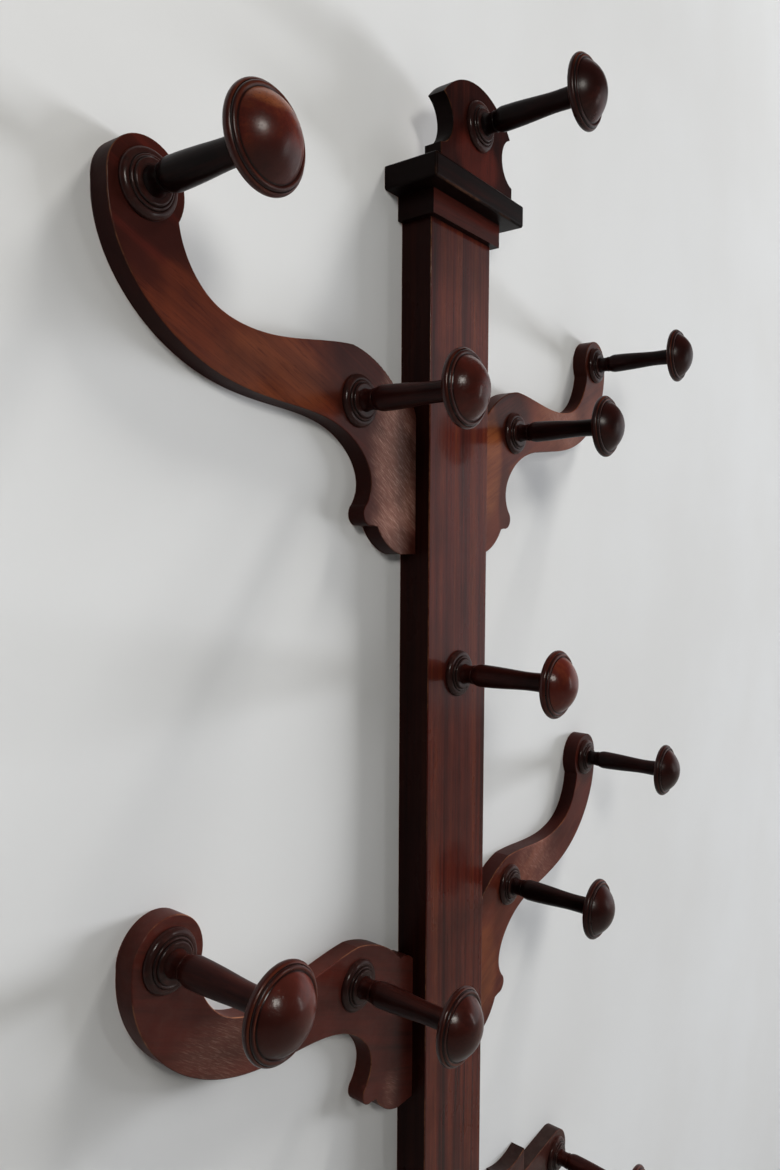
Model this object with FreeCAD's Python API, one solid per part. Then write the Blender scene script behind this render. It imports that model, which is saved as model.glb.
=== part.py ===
import FreeCAD, Part
import math
import os

# Wall coat rack. Millimetres; X to the viewer's right, Y into the wall, Z up.
# The wall is the plane Y = 0 and the origin is the middle of the post's back.

# Post
post_w = 95.0
post_d = 30.0
post_len = 1200.0
post_round = 1.2

# Board of the arms, brackets and finial
board_t = 16.0
edge_round = 0.8

# Necking strips and cap on top of the post
necking_t = 6.0
necking_h = 20.0
cap_over = 24.5
cap_front = 21.0
cap_t = 19.5
cap_round = 2.2

# Finial: its foot stands in from the ends of the cap, waist and ears in from the ends of the foot
finial_set_back = 5.0
finial_end = 14.0
finial_foot_h = 12.5
finial_waist_in = 17.5
finial_waist_h = 30.0
finial_ear_in = 4.0
finial_ear_h = 53.5
finial_h = 78.5

# Arms: one pattern, crest = top of the inner boss; the lower pair leans up a little
boss_r = 27.5
reach = 272.5
boss_up = 57.0
crest_out = 83.5
notch_out = 23.5
notch_drop = 30.0
root_drop = 46.0
arm_dip = 9.0
belly_drop = 53.5
tail_drop = 161.0
upper_crest_drop = 137.5
lower_crest_up = 364.5
lower_lean = 2.5

# Scalloped tail of arms and brackets: out from the post and up from its foot
shoulder_out = 77.5
shoulder_up = 85.0
crook_out = 61.5
crook_up = 62.0
lobe_out = 67.0
lobe_up = 40.0
step_out = 59.0
step_up = 23.5
nick_w = 6.5
nick_h = 1.0
foot_out = 21.5

# Lowest brackets: one pattern, top = the flat stretch of their upper edge
bracket_foot_up = 52.0
bracket_tail_drop = 168.0
bracket_boss_out = 198.5
horn_out = 65.5
horn_w = 55.0
horn_h = 31.0
horn_tip_drop = 4.0
horn_scoop = 7.0
horn_lip = 6.0
cove_drop = 15.0

# Pegs: where they stand
inner_in = 6.5
upper_inner_drop = 42.0
lower_inner_drop = 27.0
post_peg_drop = 405.0
finial_peg_h = 45.0

# Pegs: their turned shape
rosette_r = 20.4
rosette_band = 4.8
rosette_step = 2.3
rosette_edge = 1.4
rosette_crown = 2.8
rosette_rise = 1.4
quirk = 0.4
neck_r = 8.4
neck_len = 9.5
neck_hollow = 0.6
ring_pinch = 0.6
ring_w = 1.0
stem_swell = 9.0
stem_r = 9.9
stem_waist_r = 7.9
stem_end_r = 8.7
stem_out = 93.3
tenon_r = 5.0
tenon_deep = 20.0
spigot_r = 4.5
spigot_len = 9.0
knob_r = 28.4
knob_rim_t = 5.2
knob_bead = 1.6
knob_ledge_w = 5.5
knob_ledge_t = 1.8
dome_h = 12.4

# Dowels
arm_dowel_r = 4.0
cap_dowel_r = 5.0
finial_dowel_r = 3.0
dowel_deep = 20.0
dowel_inset = 24.0
cap_dowel_inset = 19.5
finial_dowel_inset = 20.0
cap_skin = 7.0

# Hanger plates on the back: round entry, narrow slot above it, a screw at each end
hanger_inset = 100.0
plate_w = 24.0
plate_end = 8.0
plate_t = 2.5
key_r = 5.5
key_slot_r = 2.75
key_run = 14.0
pocket_deep = 9.0
pocket_side = 1.5
screw_r = 1.75
screw_head_r = 3.5
screw_len = 16.0
screw_clear = 4.0
slot_w = 1.0
slot_deep = 0.8

# Clearances
bore_gap = 0.15
end_gap = 1.0
plate_gap = 0.2
head_gap = 0.05

V = FreeCAD.Vector
rosette_h = rosette_edge + rosette_crown + 2 * rosette_rise
post_top = post_len / 2
cap_w = post_w + 2 * cap_over
cap_d = post_d + cap_front
cap_top = post_top + cap_t
cap_hole = cap_t - cap_skin
cap_dowel_x = post_w / 2 - cap_dowel_inset
finial_foot = cap_w / 2 - finial_end
finial_dowel_x = finial_foot - finial_dowel_inset
finial_front = -cap_d + finial_set_back
finial_back = finial_front + board_t
finial_mid = finial_front + board_t / 2
bracket_top = -post_len / 2 + bracket_foot_up + bracket_tail_drop
upper_crest = post_top - upper_crest_drop
lower_crest = bracket_top + lower_crest_up
arm_dowel_drops = [root_drop + dowel_inset, tail_drop - dowel_inset]
bracket_dowel_drops = [cove_drop + dowel_inset, bracket_tail_drop - dowel_inset]
pocket_r = key_r + pocket_side
screw_off = key_run + pocket_r + screw_clear
plate_h = 2 * (screw_off + plate_end)
hanger_heights = [post_top - hanger_inset, hanger_inset - post_top]
sides = {"left": -1, "right": 1}
tiers = {
    "upper": (upper_crest, 0, upper_inner_drop),
    "lower": (lower_crest, lower_lean, lower_inner_drop),
}


def line(a, b):
    return Part.makeLine(V(a[0], 0, a[1]), V(b[0], 0, b[1]))


def arc(a, b, c):
    return Part.Arc(V(a[0], 0, a[1]), V(b[0], 0, b[1]), V(c[0], 0, c[1])).toShape()


def between(a, b, out, up):
    return (a[0] + (b[0] - a[0]) * out, a[1] + (b[1] - a[1]) * up)


# Arc from a to b that passes the given shares of the way out and up
def bow(a, b, out, up):
    return arc(a, between(a, b, out, up), b)


def sweep(points):
    curve = Part.BSplineCurve()
    curve.interpolate(Points=[V(x, 0, z) for x, z in points])
    return curve.toShape()


def on_circle(centre, r, degrees):
    a = math.radians(degrees)
    return (centre[0] + r * math.cos(a), centre[1] + r * math.sin(a))


# Fretted plate, its back at Y = 0 and the edges of its front eased
def plate(edges):
    solid = Part.Face(Part.Wire(edges)).extrude(V(0, -board_t, 0))
    rim = [e for e in solid.Edges if e.BoundBox.YMax < 0.01 - board_t]
    return solid.makeFillet(edge_round, rim)


def turned(edges):
    face = Part.Face(Part.Wire(edges))
    return face.revolve(V(0, 0, 0), V(0, 0, 1), 360).rotated(V(0, 0, 0), V(1, 0, 0), 90)


def rod_x(r, x0, x1, y, z):
    return Part.makeCylinder(r, x1 - x0, V(x0, y, z), V(1, 0, 0))


def rod_y(r, x, y0, y1, z):
    return Part.makeCylinder(r, y1 - y0, V(x, y0, z), V(0, 1, 0))


def rod_z(r, x, y, z0, z1):
    return Part.makeCylinder(r, z1 - z0, V(x, y, z0), V(0, 0, 1))


def to_side(shape, side, height):
    if side < 0:
        shape = shape.mirror(V(0, 0, 0), V(1, 0, 0))
    return shape.translated(V(side * post_w / 2, 0, height))


# An arm leans about the foot of its tail and is trimmed to the post again
def leaned(solid, lean):
    solid = solid.rotated(V(0, 0, -tail_drop), V(0, -1, 0), lean)
    return solid.cut(Part.makeBox(reach, 2 * board_t, 2 * reach, V(-reach, -1.5 * board_t, -reach)))


def boss_centre(lean):
    a = math.radians(lean)
    high = boss_up + tail_drop
    out = reach * math.cos(a) - high * math.sin(a)
    up = reach * math.sin(a) + high * math.cos(a) - tail_drop
    return (out, up)


# Pegs: name, place on the wall plane, face they stand on, depth of their hole
def peg_places():
    places = [("finial", 0, cap_top + finial_peg_h, finial_front, board_t)]
    places.append(("post", 0, post_top - post_peg_drop, -post_d, tenon_deep + end_gap))
    for name, side in sides.items():
        for tier, (crest, lean, drop) in tiers.items():
            out, up = boss_centre(lean)
            inner = side * (post_w / 2 + crest_out - inner_in)
            outer = side * (post_w / 2 + out)
            places.append((f"{tier}_{name}_inner", inner, crest - drop, -board_t, board_t))
            places.append((f"{tier}_{name}_outer", outer, crest + up, -board_t, board_t))
        x = side * (post_w / 2 + bracket_boss_out)
        places.append((f"bracket_{name}", x, bracket_top - boss_r, -board_t, board_t))
    return places


def peg_holes(shape, keys):
    for name, x, z, face, deep in peg_places():
        if name in keys:
            shape = shape.cut(rod_y(tenon_r + bore_gap, x, face, face + deep, z))
    return shape


# Rosette: a wide rounded band and two thin rings, its back on the wood
def rosette():
    hole = tenon_r + bore_gap
    low = rosette_edge + rosette_crown
    high = low + rosette_rise
    ring = rosette_r - rosette_band
    hub = ring - rosette_step
    return turned([
        line((hole, 0), (rosette_r, 0)),
        line((rosette_r, 0), (rosette_r, rosette_edge)),
        bow((rosette_r, rosette_edge), (ring + quirk, low), 0.3, 0.7),
        line((ring + quirk, low), (ring, low - quirk)),
        bow((ring, low - quirk), (ring - rosette_step / 2, high), 0.3, 0.8),
        line((ring - rosette_step / 2, high), (hub, high - quirk)),
        bow((hub, high - quirk), (hub - rosette_step / 2, rosette_h), 0.3, 0.8),
        line((hub - rosette_step / 2, rosette_h), (hole, rosette_h)),
        line((hole, rosette_h), (hole, 0)),
    ])


# Shaft of a stem: fullest behind its shoulder, slimmest short of the knob, flared at the knob
def shaft(swell):
    slim = [(0.2, 0.2), (0.42, 0.62), (0.64, 1.0)]
    run = stem_out - swell
    loss = stem_r - stem_waist_r
    points = [(stem_r - loss * share, swell + run * along) for along, share in slim]
    flare = (stem_waist_r + (stem_end_r - stem_waist_r) * 0.35, swell + run * 0.86)
    return sweep([(stem_r, swell)] + points + [flare, (stem_end_r, stem_out)])


# Stem: tenon, spool neck, pinched ring, shouldered shaft, spigot for the knob
def stem(tenon):
    neck_end = rosette_h + neck_len
    ring_end = neck_end + ring_w
    swell = ring_end + stem_swell
    tip = stem_out + spigot_len
    foot = (neck_r + neck_hollow, rosette_h)
    pinch = (neck_r - ring_pinch, ring_end)
    return turned([
        line((0, -tenon), (tenon_r, -tenon)),
        line((tenon_r, -tenon), (tenon_r, rosette_h)),
        line((tenon_r, rosette_h), foot),
        arc(foot, (neck_r - neck_hollow, rosette_h + neck_len / 2), (neck_r, neck_end)),
        bow((neck_r, neck_end), pinch, 0.2, 0.6),
        bow(pinch, (stem_r, swell), 0.7, 0.36),
        shaft(swell),
        line((stem_end_r, stem_out), (spigot_r, stem_out)),
        line((spigot_r, stem_out), (spigot_r, tip)),
        line((spigot_r, tip), (0, tip)),
        line((0, tip), (0, -tenon)),
    ])


# Knob: disc with a beaded rim, a rounded ledge and a low dome
def knob():
    ledge = knob_rim_t + knob_ledge_t
    top = ledge + dome_h
    rim = knob_r - knob_bead
    fillet = (rim - quirk, knob_rim_t - quirk)
    dome_r = knob_r - knob_ledge_w
    shelf = (dome_r + knob_bead, ledge)
    ball = (dome_r ** 2 + dome_h ** 2) / (2 * dome_h)
    solid = turned([
        line((0, 0), (rim, 0)),
        arc((rim, 0), (knob_r, knob_rim_t / 2), (rim, knob_rim_t)),
        line((rim, knob_rim_t), fillet),
        bow(fillet, shelf, 0.3, 0.8),
        line(shelf, (dome_r + quirk, ledge - quirk)),
        line((dome_r + quirk, ledge - quirk), (dome_r, ledge)),
        arc((dome_r, ledge), on_circle((0, top - ball), ball, 60), (0, top)),
        line((0, top), (0, 0)),
    ])
    return solid.cut(rod_y(spigot_r + bore_gap, 0, -spigot_len - end_gap, 0, 0))


# Tail: hollow flank, lobe, step and last scallop down to the foot
def tail(start, drop):
    lobe = (lobe_out, lobe_up - drop)
    step = (step_out, step_up - drop)
    nick = (step_out - nick_w, step_up - nick_h - drop)
    foot = (foot_out, -drop)
    return [
        sweep(start + [(shoulder_out, shoulder_up - drop), (crook_out, crook_up - drop), lobe]),
        bow(lobe, step, -0.44, 0.52),
        line(step, nick),
        bow(nick, foot, 0.39, 0.6),
        line(foot, (0, -drop)),
    ]


# Arm: from the root at the post over crest and outer boss and back to the tail
def arm_outline():
    root = (0, -root_drop)
    notch = (notch_out, -notch_drop)
    crest = (crest_out, 0)
    boss = (reach, boss_up)
    start = on_circle(boss, boss_r, 213)
    end = on_circle(boss, boss_r, -5)
    dip = [(0.23, -0.5), (0.48, -1.0), (0.63, -0.7), (0.73, 0.05)]
    belly = [(0.942, -0.37), (0.696, -0.82), (0.394, -1.0), (0.167, -1.1)]
    span = reach - crest_out
    over = [(crest_out + span * along, arm_dip * up) for along, up in dip]
    under = [(crest_out + span * along, belly_drop * up) for along, up in belly]
    neck_in = (crest_out + span * 0.833, boss_up * 0.34)
    neck_out = (crest_out + span * 1.116, boss_up * 0.4)
    return [
        bow(root, notch, 0.28, 0.69),
        bow(notch, crest, 0.433, 0.65),
        sweep([crest] + over + [neck_in, start]),
        arc(start, on_circle(boss, boss_r, 90), end),
    ] + tail([end, neck_out] + under, tail_drop) + [line((0, -tail_drop), root)]


# Bracket: cove, scooped horn, flat stretch to the boss, the arms' tail below
def bracket_outline():
    boss = (bracket_boss_out, -boss_r)
    low = on_circle(boss, boss_r, -95)
    shoulder = (shoulder_out, shoulder_up - bracket_tail_drop)
    cove_r = cove_drop + horn_h - horn_lip
    cove = (horn_out - cove_r, horn_h - horn_lip)
    horn = (horn_out, horn_h)
    tip = (horn_out + horn_w, horn_h - horn_tip_drop)
    start = [low, between(low, shoulder, 0.4, 0.14), between(low, shoulder, 0.75, 0.46)]
    return [
        line((0, -cove_drop), (cove[0], -cove_drop)),
        arc((cove[0], -cove_drop), on_circle(cove, cove_r, -45), (horn_out, cove[1])),
        line((horn_out, cove[1]), horn),
        arc(horn, (horn_out + horn_w / 2, horn_h - horn_scoop), tip),
        line(tip, (tip[0], 0)),
        line((tip[0], 0), (boss[0], 0)),
        arc((boss[0], 0), on_circle(boss, boss_r, 0), low),
    ] + tail(start, bracket_tail_drop) + [line((0, -bracket_tail_drop), (0, -cove_drop))]


def dowel_holes(solid, drops):
    for drop in drops:
        solid = solid.cut(rod_x(arm_dowel_r + bore_gap, 0, dowel_deep + end_gap, -board_t / 2, -drop))
    return solid


def arm(name, tier):
    crest, lean, drop = tiers[tier]
    solid = dowel_holes(leaned(plate(arm_outline()), lean), arm_dowel_drops)
    keys = [f"{tier}_{name}_inner", f"{tier}_{name}_outer"]
    return peg_holes(to_side(solid, sides[name], crest), keys)


def bracket(name):
    solid = dowel_holes(plate(bracket_outline()), bracket_dowel_drops)
    return peg_holes(to_side(solid, sides[name], bracket_top), [f"bracket_{name}"])


def dowel_heights():
    rows = [crest - d for crest, lean, drop in tiers.values() for d in arm_dowel_drops]
    return rows + [bracket_top - d for d in bracket_dowel_drops]


def arm_dowels():
    pins = []
    for z in dowel_heights():
        for middle in (-post_w / 2, post_w / 2):
            pins.append(rod_x(arm_dowel_r, middle - dowel_deep, middle + dowel_deep, -board_t / 2, z))
    return Part.makeCompound(pins)


def cap_dowels():
    low = post_top - dowel_deep
    high = post_top + cap_hole - end_gap
    pair = (-cap_dowel_x, cap_dowel_x)
    return Part.makeCompound([rod_z(cap_dowel_r, x, -post_d / 2, low, high) for x in pair])


def finial_dowels():
    low = cap_top - cap_hole
    high = cap_top + dowel_deep - end_gap
    pair = (-finial_dowel_x, finial_dowel_x)
    return Part.makeCompound([rod_z(finial_dowel_r, x, finial_mid, low, high) for x in pair])


# Necking strips, mitred at the front corners
def necking(points):
    base = [V(x, y, post_top - necking_h) for x, y in points]
    return Part.Face(Part.makePolygon(base + base[:1])).extrude(V(0, 0, necking_h))


def necking_front():
    w = post_w / 2
    outer = w + necking_t
    front = -post_d - necking_t
    return necking([(-outer, front), (outer, front), (w, -post_d), (-w, -post_d)])


def necking_side(side):
    w = post_w / 2
    outer = w + necking_t
    corners = [(w, -post_d), (outer, -post_d - necking_t), (outer, 0), (w, 0)]
    return necking([(side * x, y) for x, y in corners])


def cap():
    slab = Part.makeBox(cap_w, cap_d, cap_t, V(-cap_w / 2, -cap_d, post_top))
    rim = [e for e in slab.Edges if e.BoundBox.YMin < -0.01]
    slab = slab.makeFillet(cap_round, rim)
    for x in (-cap_dowel_x, cap_dowel_x):
        slab = slab.cut(rod_z(cap_dowel_r + bore_gap, x, -post_d / 2, post_top, post_top + cap_hole))
    for x in (-finial_dowel_x, finial_dowel_x):
        slab = slab.cut(rod_z(finial_dowel_r + bore_gap, x, finial_mid, cap_top - cap_hole, cap_top))
    return slab


# Finial: wide foot, hollow flanks, pointed ears, round head
def finial():
    waist = (finial_foot - finial_waist_in, finial_waist_h)
    ear = (finial_foot - finial_ear_in, finial_ear_h)
    solid = plate([
        line((-finial_foot, 0), (finial_foot, 0)),
        line((finial_foot, 0), (finial_foot, finial_foot_h)),
        arc((finial_foot, finial_foot_h), waist, ear),
        arc(ear, (0, finial_h), (-ear[0], ear[1])),
        arc((-ear[0], ear[1]), (-waist[0], waist[1]), (-finial_foot, finial_foot_h)),
        line((-finial_foot, finial_foot_h), (-finial_foot, 0)),
    ]).translated(V(0, finial_back, cap_top))
    for x in (-finial_dowel_x, finial_dowel_x):
        solid = solid.cut(rod_z(finial_dowel_r + bore_gap, x, finial_mid, cap_top, cap_top + dowel_deep))
    return peg_holes(solid, ["finial"])


def stadium(r, low, high, y0, y1):
    body = Part.makeBox(2 * r, y1 - y0, high - low, V(-r, y0, low))
    return body.fuse([rod_y(r, 0, y0, y1, low), rod_y(r, 0, y0, y1, high)]).removeSplitter()


def screw_heights(z):
    return [z - screw_off, z + screw_off]


def screw_blank(z, gap):
    head = Part.makeCone(screw_head_r + gap, screw_r + gap, plate_t, V(0, 0, z), V(0, -1, 0))
    return head.fuse(rod_y(screw_r + gap, 0, -screw_len - gap, -plate_t, z))


def plate_body(z, gap):
    straight = plate_h / 2 - plate_w / 2
    return stadium(plate_w / 2 + gap, z - straight, z + straight, -plate_t, 0)


def hanger_plate(z):
    solid = plate_body(z, 0).cut(rod_y(key_r, 0, -plate_t, 0, z))
    solid = solid.cut(stadium(key_slot_r, z, z + key_run, -plate_t, 0))
    for h in screw_heights(z):
        solid = solid.cut(screw_blank(h, head_gap))
    return solid


def hanger_screws():
    solids = []
    for z in hanger_heights:
        for h in screw_heights(z):
            corner = V(-screw_head_r, -slot_deep, h - slot_w / 2)
            slot = Part.makeBox(2 * screw_head_r, slot_deep, slot_w, corner)
            solids.append(screw_blank(h, 0).cut(slot))
    return Part.makeCompound(solids)


def post():
    body = Part.makeBox(post_w, post_d, post_len, V(-post_w / 2, -post_d, -post_top))
    rim = [e for e in body.Edges if e.BoundBox.YMax < 0.01 - post_d and e.BoundBox.ZLength > 1]
    body = body.makeFillet(post_round, rim)
    hole = arm_dowel_r + bore_gap
    for z in dowel_heights():
        body = body.cut(rod_x(hole, -post_w / 2, dowel_deep - post_w / 2, -board_t / 2, z))
        body = body.cut(rod_x(hole, post_w / 2 - dowel_deep, post_w / 2, -board_t / 2, z))
    for x in (-cap_dowel_x, cap_dowel_x):
        body = body.cut(rod_z(cap_dowel_r + bore_gap, x, -post_d / 2, post_top - dowel_deep, post_top))
    for z in hanger_heights:
        body = body.cut(plate_body(z, plate_gap))
        body = body.cut(stadium(pocket_r, z, z + key_run, -plate_t - pocket_deep, -plate_t))
        for h in screw_heights(z):
            body = body.cut(rod_y(screw_r + bore_gap, 0, -screw_len - bore_gap, -plate_t, h))
    return peg_holes(body, ["post"])


def build():
    shapes = {"post": post(), "cap": cap(), "finial": finial(), "necking_front": necking_front()}
    for name, side in sides.items():
        shapes[f"necking_{name}"] = necking_side(side)
        shapes[f"bracket_{name}"] = bracket(name)
        for tier in tiers:
            shapes[f"arm_{tier}_{name}"] = arm(name, tier)
    shapes["arm_dowels"] = arm_dowels()
    shapes["cap_dowels"] = cap_dowels()
    shapes["finial_dowels"] = finial_dowels()
    for name, z in zip(("upper", "lower"), hanger_heights):
        shapes[f"hanger_{name}"] = hanger_plate(z)
    shapes["hanger_screws"] = hanger_screws()
    for name, x, z, face, deep in peg_places():
        place = V(x, face, z)
        shapes[f"rosette_{name}"] = rosette().translated(place)
        shapes[f"stem_{name}"] = stem(deep - end_gap).translated(place)
        shapes[f"knob_{name}"] = knob().translated(place + V(0, -stem_out, 0))
    return shapes


os.makedirs("parts", exist_ok=True)
for node, shape in build().items():
    shape.exportStep(f"parts/{node}.step")
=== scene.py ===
"""A dark polished coat rack on a pale wall: woods and metals, soft light and the photograph's view."""
import math
from collections import namedtuple

import bpy
from mathutils import Matrix, Vector

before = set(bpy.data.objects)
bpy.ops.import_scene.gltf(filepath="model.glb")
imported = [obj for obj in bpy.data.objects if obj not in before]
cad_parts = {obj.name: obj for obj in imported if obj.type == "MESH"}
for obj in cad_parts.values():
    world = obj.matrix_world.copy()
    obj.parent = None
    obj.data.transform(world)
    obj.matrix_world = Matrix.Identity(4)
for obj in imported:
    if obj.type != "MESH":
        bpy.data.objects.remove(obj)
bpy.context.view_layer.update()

Lamp = namedtuple("Lamp", "at facing width height watts tint mirrored")
Pattern = namedtuple("Pattern", "scale detail rough bend", defaults=(0.5, 0.0))
Spot = namedtuple("Spot", "centre reach tint share")
Scuff = namedtuple("Scuff", "centre reach share")


def colour(red, green, blue):
    return (red, green, blue, 1.0)


def grained(along, across, *settings):
    """A pattern drawn out along the grain; its scales are per metre."""
    return Pattern((along, across, across), *settings)


# Camera: place in metres, turns in degrees, sizes in pixels of the photograph, sensor in millimetres
IMAGE_SIZE = (780, 1170)
FOCAL_PIXELS = 849
SENSOR = 36.0
CAMERA_AT = (-0.6393, -0.4318, 0.3158)
CAMERA_YAW = 53.2
CAMERA_PITCH = -3.22
CAMERA_ROLL = 0.28

# Stage: wall just behind the rack, floor below it, in metres; rays shorter than the reach pass the wall
WALL_Y = 0.0002
WALL_PASS_REACH = 0.0008
WALL_TOP = 4.0
FLOOR_Z = -1.25
STAGE_HALF = 6.0
WALL_PALE = colour(0.725, 0.738, 0.758)
WALL_DULL = colour(0.695, 0.703, 0.716)
WALL_CLOUDS = Pattern((2.5, 2.5, 2.5), 3)
WALL_DABS = Pattern((60, 60, 60), 3)
WALL_BUMP = dict(strength=0.05, depth=0.001)
FLOOR_PALE = colour(0.32, 0.315, 0.305)
FLOOR_DULL = colour(0.3, 0.295, 0.285)
FLOOR_CLOUDS = Pattern((3, 3, 3), 3)

# Room: strengths of its dim and bright sides and as a camera sees it; way and ranges of the bright side
ROOM_COLOUR = colour(0.95, 0.97, 1.0)
ROOM_DIM = 0.05
ROOM_BRIGHT = 1.0
ROOM_SEEN = 0.85
BRIGHT_WAY = (0.9, -0.436, 0.0)
BRIGHT_COSINES = (0.84, 0.98)
BRIGHT_FROM_BELOW = (-0.4, -0.1)
BRIGHT_FROM_ABOVE = (0.55, 0.2)

# Lamps: places and sizes in metres; mirrored says whether polish reflects them
AIM = (0.0, 0.0, 0.2)
LAMPS = {
    "key_high": Lamp(at=(3.0, -1.1, 5.5), facing=AIM, width=1.3, height=1.3,
                     watts=430, tint=(1.0, 0.975, 0.91), mirrored=False),
    "key_right": Lamp(at=(9.0, -2.7, -0.7), facing=AIM, width=3.9, height=1.8,
                      watts=850, tint=(0.965, 0.98, 1.0), mirrored=False),
    "fill_left": Lamp(at=(-0.75, -1.25, 0.85), facing=AIM, width=0.35, height=0.35,
                      watts=7, tint=(1.0, 0.97, 0.9), mirrored=True),
    "strip": Lamp(at=(1.5, -2.3, 0.3), facing=AIM, width=0.25, height=1.1,
                  watts=4, tint=(1.0, 0.99, 0.98), mirrored=True),
    "behind": Lamp(at=(-1.4, 2.2, 0.9), facing=(0.0, 0.0, 0.0), width=2.0, height=2.0,
                   watts=85, tint=(1.0, 0.98, 0.96), mirrored=True),
    "behind_high": Lamp(at=(-1.5, 2.5, 4.4), facing=(-1.5, 2.5, FLOOR_Z), width=3.0, height=3.0,
                        watts=300, tint=(1.0, 0.98, 0.95), mirrored=False),
}

# Mahogany tones, as linear colours
BLACKENED = colour(0.004, 0.0016, 0.0014)
DEEP = colour(0.018, 0.0038, 0.003)
BROWN = colour(0.042, 0.0088, 0.006)
RED = colour(0.078, 0.0125, 0.008)
WARM = colour(0.125, 0.026, 0.0105)
ORANGE = colour(0.21, 0.062, 0.022)
# Tone of worn edges, also a painted highlight
WORN_EDGE_AND_GLINT = colour(0.33, 0.135, 0.065)
RUBBED = colour(0.31, 0.14, 0.105)
PALE = colour(0.56, 0.34, 0.275)
BARE = colour(0.17, 0.076, 0.038)
# Dust, which on the rosettes also stands for a painted sheen
DUST_AND_SHEEN = colour(0.12, 0.088, 0.078)

# Mahogany patterns
FIGURE = grained(2.4, 46, 4, 0.6, 0.5)
POST_FIGURE = grained(1.3, 100, 4, 0.6, 0.5)
FINIAL_FIGURE = grained(3.0, 110, 4, 0.6, 0.5)
ARM_FIGURE = grained(3.0, 90, 4, 0.6, 0.5)
STREAKS = grained(7, 210, 3, 0.65, 0.3)
FIBRES = grained(16, 620, 2, 0.6)
PORES = grained(70, 1400, 1)
CLOUDS = grained(9, 16, 4, 0.62)
GRIT = grained(150, 150, 3, 0.65)
RIPPLES = grained(3, 130, 2)
STROKES = grained(90, 1300, 4, 0.75)
STROKE_TURN = (0, math.radians(-38), 0)
GRAIN_SHIFT = (7.3, 3.1, 5.7)

# Grain of a piece: the turn, in degrees, that brings it along X
UP = (0, 90, 0)
LEVEL = (0, 0, 0)
OUTWARD = (0, 0, -90)
ARM_SLOPE = 25

# Mahogany colour: ranges of the patterns over which a tone comes in, and the tones' greatest shares
FIGURE_STOPS = (0.34, 0.5, 0.66)
BROAD_SHARE = 0.75
STREAK_SHARE = 0.25
FIBRE_RANGE = (0.42, 0.75)
FIBRE_SHARE = 0.35
PORE_RANGE = (0.6, 0.7)
PORE_SHARE = 0.5
POLISH_RANGE = (0.42, 0.68)
SPOT_CORE = 0.25
SPOT_RANGE = (0.3, 0.6)
SPOT_LEAST = 0.55
BLOT_RAGGED = 1.6
NOISE_MIDDLE = 0.5

# Mahogany wear: scuffed patches and scratches, edges that also carry a painted highlight, and dust
SCUFF_CORE = -0.3
STROKE_RANGE = (0.48, 0.68)
RUBBED_SHARE = 0.8
SCRATCH_SHARE = 0.9
EDGE_FROM_FACE = (0.985, 0.86)
EDGE_FROM_SIDE = (0.1, 0.35)
EDGE_CLOUDS = (0.46, 0.6)
EDGE_GRIT = (0.35, 0.6)
EDGE_LEAST = 0.3
DUST_RANGE = (0.3, 0.75)
DUST_LEAST = 0.4

# Flat pieces: ranges of the normal's Y for front and back, and of its size for sides and faces
FRONT_RANGE = (-0.2, -0.7)
BACK_RANGE = (0.6, 0.9)
SIDE_TO_FACE = (0.2, 0.7)
FACE_TO_SIDE = (0.7, 0.2)
SIDE_COAT = 0.25
BARE_STOPS = (0.36, 0.64)
BARE_SHARE = 0.8

# Turned pieces: radii as shares of the greatest one, in a box that is one wide
BOX_MIDDLE = (0.5, 0.5, 0.5)
ROSETTE_GROOVES = (0.765, 0.652, 0.47)
KNOB_GROOVES = (0.815, 0.93)
KNOB_RIDGES = (0.955, 0.868)
GROOVE_REACH = 0.022
GROOVE_SHARE = 0.75
RIDGE_REACH = 0.035
RIDGE_CLOUDS = (0.4, 0.62)
RIDGE_SHARES = (0.1, 0.6)
RING_CORE = 0.3
RIM_RANGE = (0.79, 0.84)

# Mahogany surface: roughness about its middle value, shares of the relief and its depths in metres
GLOSS_RANGE = (0.3, 0.7)
SMOOTHER = 0.07
ROUGHER = 0.09
WORN_ROUGHER = 0.2
FIBRE_HEIGHT = 0.5
PORE_DEPTH = 0.5
SCRATCH_DEPTH = 0.6
FINE_BUMP = dict(strength=0.25, depth=0.00025)
RIPPLE_DEPTH = 0.0006
UNDER_COAT_SPECULAR = 0.04
COAT_IOR = 1.5

# Metals and dowels: tones, patterns, roughness and depths of the bumps in metres
BRASS_TONES = (colour(0.62, 0.42, 0.16), colour(0.22, 0.14, 0.06))
STEEL_TONES = (colour(0.46, 0.46, 0.45), colour(0.17, 0.16, 0.15))
BRASS_LINES = Pattern((40, 400, 1500), 2, 0.6)
STEEL_LINES = Pattern((700, 700, 700), 2, 0.6)
STAINS = Pattern((70, 70, 70), 4, 0.65)
STAIN_RANGE = (0.4, 0.7)
STAIN_SMOOTHER = 0.06
STAIN_ROUGHER = 0.16
LINE_ROUGHER = 0.05
LINE_BUMP = dict(strength=0.2, depth=0.0001)
BEECH_TONES = (colour(0.36, 0.22, 0.12), colour(0.52, 0.36, 0.21))
BEECH_FLECKS = Pattern((60, 420, 420), 3, 0.6)
BEECH_ROUGHNESS = (0.62, 0.78)
BEECH_BUMP = dict(strength=0.3, depth=0.0002)
MIDDLE_RANGE = (0.3, 0.7)


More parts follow.
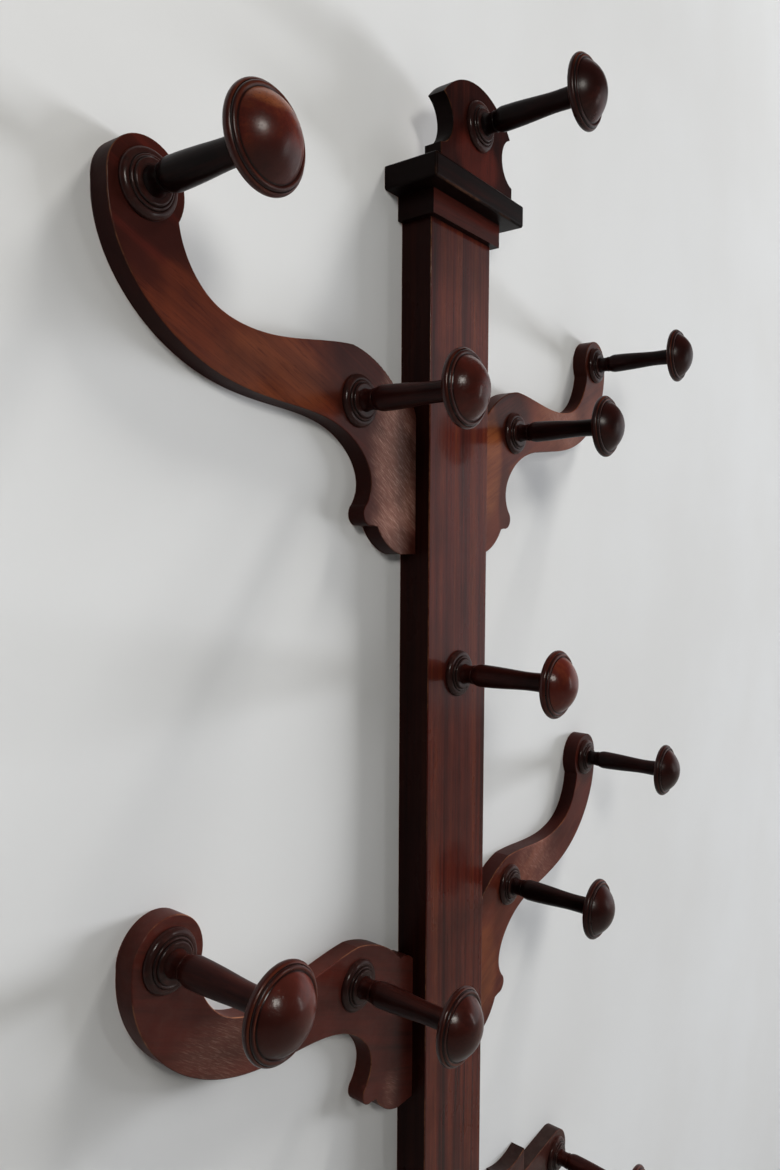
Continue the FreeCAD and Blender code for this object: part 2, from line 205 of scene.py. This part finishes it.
class Tree:
    """The nodes of a new material or world, added and linked by short calls."""

    def __init__(self, owner):
        self.owner = owner
        owner.use_nodes = True
        self.nodes = owner.node_tree.nodes
        self.links = owner.node_tree.links
        self.nodes.clear()

    def put(self, socket, value):
        if isinstance(value, bpy.types.NodeSocket):
            self.links.new(value, socket)
        else:
            socket.default_value = value

    def add(self, kind, inputs, **settings):
        node = self.nodes.new("ShaderNode" + kind)
        for key, value in settings.items():
            setattr(node, key, value)
        for key, value in inputs.items():
            self.put(node.inputs[key], value)
        return node

    def math(self, operation, a, b=0.0):
        return self.add("Math", {0: a, 1: b}, operation=operation).outputs[0]

    def plus(self, a, b):
        return self.math("ADD", a, b)

    def minus(self, a, b):
        return self.math("SUBTRACT", a, b)

    def times(self, a, b):
        return self.math("MULTIPLY", a, b)

    def vector(self, operation, a, b):
        return self.add("VectorMath", {0: a, 1: b}, operation=operation).outputs[0]

    def span(self, value, source, start=0.0, end=1.0):
        """Eases from start to end while the value goes through the source range."""
        low, high = source
        inputs = {"Value": value, "From Min": low, "From Max": high, "To Min": start, "To Max": end}
        return self.add("MapRange", inputs, interpolation_type="SMOOTHSTEP").outputs[0]

    def mix(self, share, a, b):
        """Mixes two colours, by the sockets that the Mix node keeps for colours."""
        return self.add("Mix", {0: share, 6: a, 7: b}, data_type="RGBA").outputs[2]

    def noise(self, place, pattern):
        inputs = {"Vector": self.vector("MULTIPLY", place, pattern.scale), "Scale": 1.0,
                  "Detail": pattern.detail, "Roughness": pattern.rough, "Distortion": pattern.bend}
        return self.add("TexNoise", inputs).outputs[0]

    def ramp(self, share, stops, tones):
        node = self.add("ValToRGB", {"Fac": share})
        elements = node.color_ramp.elements
        while len(elements) < len(stops):
            elements.new(0.5)
        for element, at, tone in zip(elements, stops, tones):
            element.position, element.color = at, tone
        return node.outputs[0]

    def bump(self, height, strength, depth, **under):
        inputs = {"Height": height, "Strength": strength, "Distance": depth, **under}
        return self.add("Bump", inputs).outputs[0]

    def parts(self, vector):
        return self.add("SeparateXYZ", {0: vector}).outputs

    def place(self):
        """The point in the rack's frame, in metres."""
        return self.add("TexCoord", {}).outputs["Object"]

    def turned(self, vector, turn):
        return self.add("Mapping", {"Vector": vector, "Rotation": turn}).outputs[0]

    def finish(self, shader, output="OutputMaterial"):
        self.links.new(shader, self.add(output, {}).inputs["Surface"])
        return self.owner


def material_tree(name):
    return Tree(bpy.data.materials.new(name))


class Wood(Tree):
    """The nodes of a wood, with the patterns that run along its grain, which differs on every piece."""

    def __init__(self, name, turn, figure):
        super().__init__(bpy.data.materials.new(name))
        self.chance = self.add("ObjectInfo", {}).outputs["Random"]
        shift = self.add("VectorMath", {0: GRAIN_SHIFT, "Scale": self.chance}, operation="SCALE").outputs[0]
        along = self.turned(self.place(), [math.radians(angle) for angle in turn])
        self.grain = self.vector("ADD", along, shift)
        broad = self.times(self.noise(self.grain, figure), BROAD_SHARE)
        self.figure = self.plus(broad, self.times(self.noise(self.grain, STREAKS), STREAK_SHARE))
        self.fibre = self.noise(self.grain, FIBRES)
        self.pores = self.span(self.noise(self.grain, PORES), PORE_RANGE)
        self.clouds = self.noise(self.grain, CLOUDS)
        self.grit = self.noise(self.grain, GRIT)
        self.backward = self.parts(self.add("NewGeometry", {}).outputs["Normal"])[1]
        self.in_front = self.span(self.backward, FRONT_RANGE)


def blot(tree, mark, core):
    """One inside an upright oval on the front, fading out from its core to a ragged edge."""
    x, _, z = tree.parts(tree.place())
    across = tree.math("DIVIDE", tree.minus(x, mark.centre[0]), mark.reach[0])
    up = tree.math("DIVIDE", tree.minus(z, mark.centre[1]), mark.reach[1])
    off = tree.plus(tree.math("POWER", across, 2.0), tree.math("POWER", up, 2.0))
    ragged = tree.plus(off, tree.times(tree.minus(tree.clouds, NOISE_MIDDLE), BLOT_RAGGED))
    return tree.span(ragged, (1.0, core))


def figured(tree, tones, vary, spots, polish):
    """The colour of the wood: its figure, spots of other tones, fibres, pores and clouds in the polish."""
    base = tree.ramp(tree.figure, FIGURE_STOPS, tones)
    if vary:
        base = tree.mix(tree.times(tree.chance, vary), base, tones[-1])
    for spot in spots:
        shown = tree.times(blot(tree, spot, SPOT_CORE), tree.in_front)
        strength = tree.span(tree.figure, SPOT_RANGE, spot.share * SPOT_LEAST, spot.share)
        base = tree.mix(tree.times(shown, strength), base, spot.tint)
    base = tree.mix(tree.span(tree.fibre, FIBRE_RANGE, 0.0, FIBRE_SHARE), base, tones[0])
    base = tree.mix(tree.times(tree.pores, PORE_SHARE), base, tones[0])
    return tree.mix(tree.span(tree.clouds, POLISH_RANGE, 0.0, polish), base, DEEP)


def scuffed(tree, base, scuffs):
    """The colour with its scuffed and scratched patches, and how scratched it is."""
    marks = 0.0
    strokes = tree.span(tree.noise(tree.turned(tree.place(), STROKE_TURN), STROKES), STROKE_RANGE)
    for scuff in scuffs:
        faded = tree.math("POWER", blot(tree, scuff, SCUFF_CORE), 2.0)
        patch = tree.times(tree.times(faded, tree.in_front), scuff.share)
        marks = tree.math("MAXIMUM", tree.times(patch, strokes), marks)
        base = tree.mix(tree.times(patch, RUBBED_SHARE), base, RUBBED)
    return tree.mix(tree.times(marks, SCRATCH_SHARE), base, PALE), marks


def flat_wear_and_painted_light(tree, base, coat, shade, side, wear):
    """A flat piece: its colour with sides darkened, partly their own darker grain and partly painted shade,
    a bare back and worn edges that also carry a painted highlight; its polish, and those edges.
    """
    facing = tree.math("ABSOLUTE", tree.backward)
    behind = tree.span(tree.backward, BACK_RANGE)
    gleam = tree.span(facing, SIDE_TO_FACE, coat * SIDE_COAT, coat)
    gleam = tree.times(gleam, tree.minus(1.0, behind))
    # Sides are darkened towards the side tone: painted shade, partly the sides' own darker grain.
    base = tree.mix(tree.span(facing, FACE_TO_SIDE, 0.0, shade), base, side)
    bare = tree.ramp(tree.figure, BARE_STOPS, (BROWN, BARE))
    base = tree.mix(tree.times(behind, BARE_SHARE), base, bare)
    # Worn edges, lightened by real wear and partly as a painted highlight on the rounded arrises.
    edge_wear_and_glint = tree.times(tree.span(facing, EDGE_FROM_FACE), tree.span(facing, EDGE_FROM_SIDE))
    edge_wear_and_glint = tree.times(edge_wear_and_glint, tree.span(tree.clouds, EDGE_CLOUDS, 0.0, wear))
    edge_wear_and_glint = tree.times(edge_wear_and_glint, tree.span(tree.grit, EDGE_GRIT, EDGE_LEAST, 1.0))
    return tree.mix(edge_wear_and_glint, base, WORN_EDGE_AND_GLINT), gleam, edge_wear_and_glint


def turned_radius(tree):
    """Distance from the axis of a turned piece, one where the piece is widest."""
    box = tree.add("TexCoord", {}).outputs["Generated"]
    across, _, up = tree.parts(tree.vector("SUBTRACT", box, BOX_MIDDLE))
    squares = tree.plus(tree.times(across, across), tree.times(up, up))
    return tree.times(tree.math("SQRT", squares), 2.0)


def near_any(tree, value, places, reach):
    """One close to any of the places, none farther away than the reach."""
    found = 0.0
    for place in places:
        off = tree.math("ABSOLUTE", tree.minus(value, place))
        found = tree.math("MAXIMUM", found, tree.span(off, (reach, reach * RING_CORE)))
    return found


def round_wear_and_painted_light(tree, base, rim, ridges, grooves):
    """The colour of a turned piece with its rim darkened as painted shade, ridges warmed by wear and a
    painted highlight, and painted shade in the grooves.
    """
    radius = turned_radius(tree)
    # The rim is darkened towards the deep tone as painted shade.
    base = tree.mix(tree.span(radius, RIM_RANGE, 0.0, rim), base, DEEP)
    # Ridges are warmed by worn polish and partly as a painted highlight where their edges catch the light.
    ridge_wear_and_glint = tree.span(tree.clouds, RIDGE_CLOUDS, *RIDGE_SHARES)
    base = tree.mix(tree.times(near_any(tree, radius, ridges, RIDGE_REACH), ridge_wear_and_glint), base, WARM)
    # Dark lines in the grooves are painted shade.
    groove_shade = near_any(tree, radius, grooves, GROOVE_REACH)
    return tree.mix(tree.times(groove_shade, GROOVE_SHARE), base, BLACKENED)


def wood_relief(tree, marks, wave):
    """Fibres, pores and scratches on a slow ripple."""
    height = tree.plus(tree.times(tree.fibre, FIBRE_HEIGHT), tree.times(tree.pores, -PORE_DEPTH))
    height = tree.plus(height, tree.times(marks, -SCRATCH_DEPTH))
    fine = tree.bump(height, **FINE_BUMP)
    return tree.bump(tree.noise(tree.grain, RIPPLES), wave, RIPPLE_DEPTH, Normal=fine)


def wood(name, tones, turn, turned=False, rough=0.34, coat=0.5, coat_rough=0.14, wear=0.3, polish=0.5,
         vary=0.0, shade=0.6, side=DEEP, rim=0.0, spots=(), scuffs=(), dust=0.0, grooves=(), ridges=(),
         figure=FIGURE, wave=0.12):
    """Polished mahogany with streaked figure, pores, old polish, worn edges and scuffs, with painted shade
    on sides, rims and grooves and painted highlights on edges and ridges.
    """
    tree = Wood(name, turn, figure)
    base = figured(tree, tones, vary, spots, polish)
    base, marks = scuffed(tree, base, scuffs)
    if turned:
        base = round_wear_and_painted_light(tree, base, rim, ridges, grooves)
        gleam, edge_wear_and_glint = coat, 0.0
    else:
        base, gleam, edge_wear_and_glint = flat_wear_and_painted_light(tree, base, coat, shade, side, wear)
    if dust:
        base = tree.mix(tree.span(tree.grit, DUST_RANGE, dust * DUST_LEAST, dust), base, DUST_AND_SHEEN)
    gloss = tree.span(tree.clouds, GLOSS_RANGE, rough - SMOOTHER, rough + ROUGHER)
    gloss = tree.plus(gloss, tree.times(tree.math("MAXIMUM", marks, edge_wear_and_glint), WORN_ROUGHER))
    relief = wood_relief(tree, marks, wave)
    shader = tree.add("BsdfPrincipled", {
        "Base Color": base, "Roughness": gloss, "Normal": relief, "Specular IOR Level": UNDER_COAT_SPECULAR,
        "Coat Weight": gleam, "Coat Roughness": coat_rough, "Coat IOR": COAT_IOR, "Coat Normal": relief})
    return tree.finish(shader.outputs[0])


def arm_wood(node, tones=(BROWN, BROWN, RED), coat=0.22, **looks):
    """A fretted board whose grain runs down from its outer end to the post."""
    slope = -ARM_SLOPE if "left" in node else ARM_SLOPE
    return wood(node + "_mahogany", tones, (0, slope, 0), rough=0.4, coat=coat, coat_rough=0.2, polish=0.4,
                figure=ARM_FIGURE, **looks)


def knob_wood(name, tones, **looks):
    """A turned knob with its beaded rim."""
    return wood(name, tones, OUTWARD, turned=True, rough=0.34, polish=0.3, rim=0.7, grooves=KNOB_GROOVES,
                ridges=KNOB_RIDGES, **looks)


def metal(name, tones, rough, lines):
    """Brushed and tarnished sheet metal."""
    tree = material_tree(name)
    brushed = tree.noise(tree.place(), lines)
    stain = tree.noise(tree.place(), STAINS)
    base = tree.mix(tree.span(stain, STAIN_RANGE), *tones)
    dull = tree.span(stain, MIDDLE_RANGE, rough - STAIN_SMOOTHER, rough + STAIN_ROUGHER)
    gloss = tree.plus(dull, tree.span(brushed, MIDDLE_RANGE, -LINE_ROUGHER, LINE_ROUGHER))
    relief = tree.bump(brushed, **LINE_BUMP)
    shader = tree.add("BsdfPrincipled", {
        "Base Color": base, "Roughness": gloss, "Normal": relief, "Metallic": 1.0})
    return tree.finish(shader.outputs[0])


def dowel_wood():
    """Plain unpolished beech."""
    tree = material_tree("dowel_beech")
    flecks = tree.noise(tree.place(), BEECH_FLECKS)
    base = tree.ramp(flecks, MIDDLE_RANGE, BEECH_TONES)
    relief = tree.bump(flecks, **BEECH_BUMP)
    gloss = tree.span(flecks, MIDDLE_RANGE, *BEECH_ROUGHNESS)
    shader = tree.add("BsdfPrincipled", {"Base Color": base, "Roughness": gloss, "Normal": relief})
    return tree.finish(shader.outputs[0])


# Finishes of the pieces, by the first word of their names
KINDS = {
    "post": wood("post_mahogany", (DEEP, RED, WARM), UP, rough=0.3, coat=0.24, coat_rough=0.1, polish=0.4,
                 shade=0.8, side=BLACKENED, figure=POST_FIGURE, wave=0.16),
    "necking": wood("necking_mahogany", (DEEP, BROWN, RED), LEVEL, rough=0.38, coat=0.12, shade=0.9,
                    side=BLACKENED),
    "cap": wood("cap_mahogany", (BLACKENED, BLACKENED, DEEP), LEVEL, rough=0.38, coat=0.08, wear=0.15,
                shade=0.9, side=BLACKENED),
    "finial": wood("finial_mahogany", (DEEP, DEEP, BROWN), UP, rough=0.4, coat=0.05, shade=0.95,
                   side=BLACKENED, figure=FINIAL_FIGURE,
                   spots=(Spot((0.0, 0.636), (0.04, 0.024), RED, 0.9),)),
    # Dust greys the rosettes, as real dust and partly as a painted sheen.
    "rosette": wood("rosette_mahogany", (DEEP, DEEP, BROWN), OUTWARD, turned=True, rough=0.38, coat=0.35,
                    dust=0.08, grooves=ROSETTE_GROOVES),
    "stem": wood("stem_mahogany", (BLACKENED, DEEP, BROWN), OUTWARD, turned=True, coat=0.06, vary=0.3),
    "knob": knob_wood("knob_mahogany", (BROWN, BROWN, RED), vary=0.3, coat=0.42, coat_rough=0.17),
    "hanger": metal("hanger_brass", BRASS_TONES, 0.34, BRASS_LINES),
}

# Looks of the fretted boards; the places of spots and scuffs are X and Z in metres
BRACKET_LOOKS = dict(dust=0.12, shade=0.85, side=BLACKENED)
BOARDS = {
    "arm_upper_left": dict(
        spots=(Spot((-0.335, 0.51), (0.05, 0.045), DEEP, 0.2),
               Spot((-0.25, 0.44), (0.115, 0.06), WARM, 0.95),
               Spot((-0.22, 0.43), (0.06, 0.035), ORANGE, 0.35)),
        scuffs=(Scuff((-0.074, 0.375), (0.044, 0.1), 1.4),),
        coat=0.2, shade=0.8),
    "arm_lower_left": dict(
        tones=(BROWN, RED, RED),
        spots=(Spot((-0.16, -0.03), (0.06, 0.05), RED, 0.6),),
        scuffs=(Scuff((-0.255, -0.02), (0.07, 0.045), 0.42),
                Scuff((-0.08, -0.155), (0.016, 0.028), 0.35)),
        dust=0.1, wear=0.6, shade=0.5, side=BROWN),
    "arm_upper_right": dict(
        tones=(RED, WARM, WARM),
        spots=(Spot((0.118, 0.44), (0.05, 0.04), DEEP, 0.9),
               Spot((0.075, 0.39), (0.026, 0.06), ORANGE, 0.95),
               Spot((0.108, 0.345), (0.016, 0.05), DEEP, 0.6),
               Spot((0.3, 0.525), (0.04, 0.04), DEEP, 0.8),
               Spot((0.225, 0.445), (0.06, 0.045), ORANGE, 0.45)),
        scuffs=(Scuff((0.235, 0.45), (0.06, 0.05), 0.4),),
        shade=0.9),
    "arm_lower_right": dict(
        tones=(RED, RED, WARM),
        spots=(Spot((0.12, -0.07), (0.08, 0.07), WARM, 0.7),
               Spot((0.075, -0.12), (0.03, 0.06), ORANGE, 0.6),
               Spot((0.32, 0.062), (0.04, 0.045), DEEP, 0.85),
               Spot((0.235, -0.015), (0.022, 0.014), DEEP, 0.6)),
        scuffs=(Scuff((0.19, -0.03), (0.09, 0.06), 0.4),),
        shade=0.9),
    "bracket_left": BRACKET_LOOKS,
    "bracket_right": BRACKET_LOOKS,
}

# Finishes of single pieces
# Painted light on the upper left outer knob: an orange painted highlight on top of the dome and painted
# shade over its lower half.
KNOB_PAINTED_LIGHT_SPOTS = (Spot((-0.326, 0.535), (0.016, 0.008), ORANGE, 0.8),
                   Spot((-0.317, 0.5), (0.032, 0.0165), DEEP, 0.9))
DARK_PEGS = ("finial", "upper_right_outer", "upper_right_inner", "lower_right_outer", "lower_right_inner")
dark_knob = knob_wood("dark_knob_mahogany", (DEEP, DEEP, BROWN), vary=0.4, coat=0.4, coat_rough=0.27)
dark_stem = wood("dark_stem_mahogany", (BLACKENED, BLACKENED, DEEP), OUTWARD, turned=True, coat=0.06)
beech = dowel_wood()
SINGLES = {
    "knob_upper_left_outer": knob_wood("worn_knob_mahogany", (BROWN, RED, WARM), spots=KNOB_PAINTED_LIGHT_SPOTS,
                                       coat=0.5, coat_rough=0.26),
    "knob_post": knob_wood("red_knob_mahogany", (RED, RED, WARM), coat=0.42, coat_rough=0.15),
    "knob_lower_left_inner": knob_wood("deep_knob_mahogany", (DEEP, BROWN, BROWN), coat=0.45,
                                       coat_rough=0.15),
    # The upper left outer stem takes the blackened stem tones as painted shade.
    "stem_upper_left_outer": dark_stem,
    "hanger_screws": metal("screw_steel", STEEL_TONES, 0.36, STEEL_LINES),
    "arm_dowels": beech,
    "cap_dowels": beech,
    "finial_dowels": beech,
}
SINGLES.update({board: arm_wood(board, **looks) for board, looks in BOARDS.items()})
SINGLES.update({"knob_" + peg: dark_knob for peg in DARK_PEGS})
SINGLES.update({"stem_" + peg: dark_stem for peg in DARK_PEGS})

for node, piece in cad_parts.items():
    piece.data.materials.clear()
    piece.data.materials.append(SINGLES.get(node) or KINDS[node.split("_")[0]])


def wall_paint():
    """Pale paint. Rays that start on the back of the rack, and the view from behind, pass through it."""
    tree = material_tree("wall_paint")
    clouds = tree.noise(tree.place(), WALL_CLOUDS)
    paint = tree.mix(tree.span(clouds, MIDDLE_RANGE), WALL_PALE, WALL_DULL)
    relief = tree.bump(tree.noise(tree.place(), WALL_DABS), **WALL_BUMP)
    diffuse = tree.add("BsdfDiffuse", {"Color": paint, "Normal": relief}).outputs[0]
    path = tree.add("LightPath", {}).outputs
    behind = tree.add("NewGeometry", {}).outputs["Backfacing"]
    near = tree.math("LESS_THAN", path["Ray Length"], WALL_PASS_REACH)
    through = tree.math("MAXIMUM", tree.times(path["Is Camera Ray"], behind), near)
    clear = tree.add("BsdfTransparent", {}).outputs[0]
    return tree.finish(tree.add("MixShader", {0: through, 1: diffuse, 2: clear}).outputs[0])


def floor_paint():
    tree = material_tree("floor_paint")
    clouds = tree.noise(tree.place(), FLOOR_CLOUDS)
    paint = tree.mix(tree.span(clouds, MIDDLE_RANGE), FLOOR_PALE, FLOOR_DULL)
    return tree.finish(tree.add("BsdfDiffuse", {"Color": paint}).outputs[0])


def panel(name, corners, material):
    mesh = bpy.data.meshes.new(name)
    mesh.from_pydata(corners, [], [range(len(corners))])
    mesh.materials.append(material)
    piece = bpy.data.objects.new(name, mesh)
    bpy.context.scene.collection.objects.link(piece)


def stage():
    half = STAGE_HALF
    panel("stage_wall", [(-half, WALL_Y, FLOOR_Z), (half, WALL_Y, FLOOR_Z),
                         (half, WALL_Y, WALL_TOP), (-half, WALL_Y, WALL_TOP)], wall_paint())
    panel("stage_floor", [(-half, -half, FLOOR_Z), (half, -half, FLOOR_Z),
                          (half, half, FLOOR_Z), (-half, half, FLOOR_Z)], floor_paint())


def room():
    """A dim room, brighter to the right, that a camera sees as plain and pale."""
    tree = Tree(bpy.data.worlds.new("studio"))
    way = tree.add("TexCoord", {}).outputs["Generated"]
    cosine = tree.add("VectorMath", {0: way, 1: BRIGHT_WAY}, operation="DOT_PRODUCT").outputs["Value"]
    height = tree.parts(way)[2]
    light = tree.span(cosine, BRIGHT_COSINES, 0.0, ROOM_BRIGHT)
    for source in (BRIGHT_FROM_BELOW, BRIGHT_FROM_ABOVE):
        light = tree.times(light, tree.span(height, source))
    light = tree.plus(light, ROOM_DIM)
    by_camera = tree.add("LightPath", {}).outputs["Is Camera Ray"]
    strength = tree.add("Mix", {0: by_camera, 2: light, 3: ROOM_SEEN}).outputs[0]
    background = tree.add("Background", {"Color": ROOM_COLOUR, "Strength": strength})
    bpy.context.scene.world = tree.finish(background.outputs[0], "OutputWorld")


def lamps():
    for name, lamp in LAMPS.items():
        light = bpy.data.lights.new(name, "AREA")
        light.shape, light.size, light.size_y = "RECTANGLE", lamp.width, lamp.height
        light.energy, light.color = lamp.watts, lamp.tint
        piece = bpy.data.objects.new(name, light)
        piece.visible_camera = False
        piece.visible_glossy = lamp.mirrored
        piece.location = lamp.at
        piece.rotation_mode = "QUATERNION"
        piece.rotation_quaternion = (Vector(lamp.facing) - Vector(lamp.at)).to_track_quat("-Z", "Y")
        bpy.context.scene.collection.objects.link(piece)


def camera():
    yaw, pitch, roll = (math.radians(a) for a in (CAMERA_YAW, CAMERA_PITCH, CAMERA_ROLL))
    level = Vector((math.sin(yaw), math.cos(yaw), 0))
    right = Vector((math.cos(yaw), -math.sin(yaw), 0))
    up = Vector((0, 0, 1))
    ahead = math.cos(pitch) * level + math.sin(pitch) * up
    above = math.cos(pitch) * up - math.sin(pitch) * level
    side = math.cos(roll) * right + math.sin(roll) * above
    top = math.cos(roll) * above - math.sin(roll) * right
    data = bpy.data.cameras.new("camera")
    data.sensor_width = SENSOR
    data.lens = FOCAL_PIXELS / max(IMAGE_SIZE) * SENSOR
    piece = bpy.data.objects.new("camera", data)
    turn = Matrix((side, top, -ahead)).transposed().to_4x4()
    piece.matrix_world = Matrix.Translation(CAMERA_AT) @ turn
    bpy.context.scene.collection.objects.link(piece)
    bpy.context.scene.camera = piece


stage()
room()
lamps()
camera()
bpy.context.scene.view_settings.view_transform = "Standard"
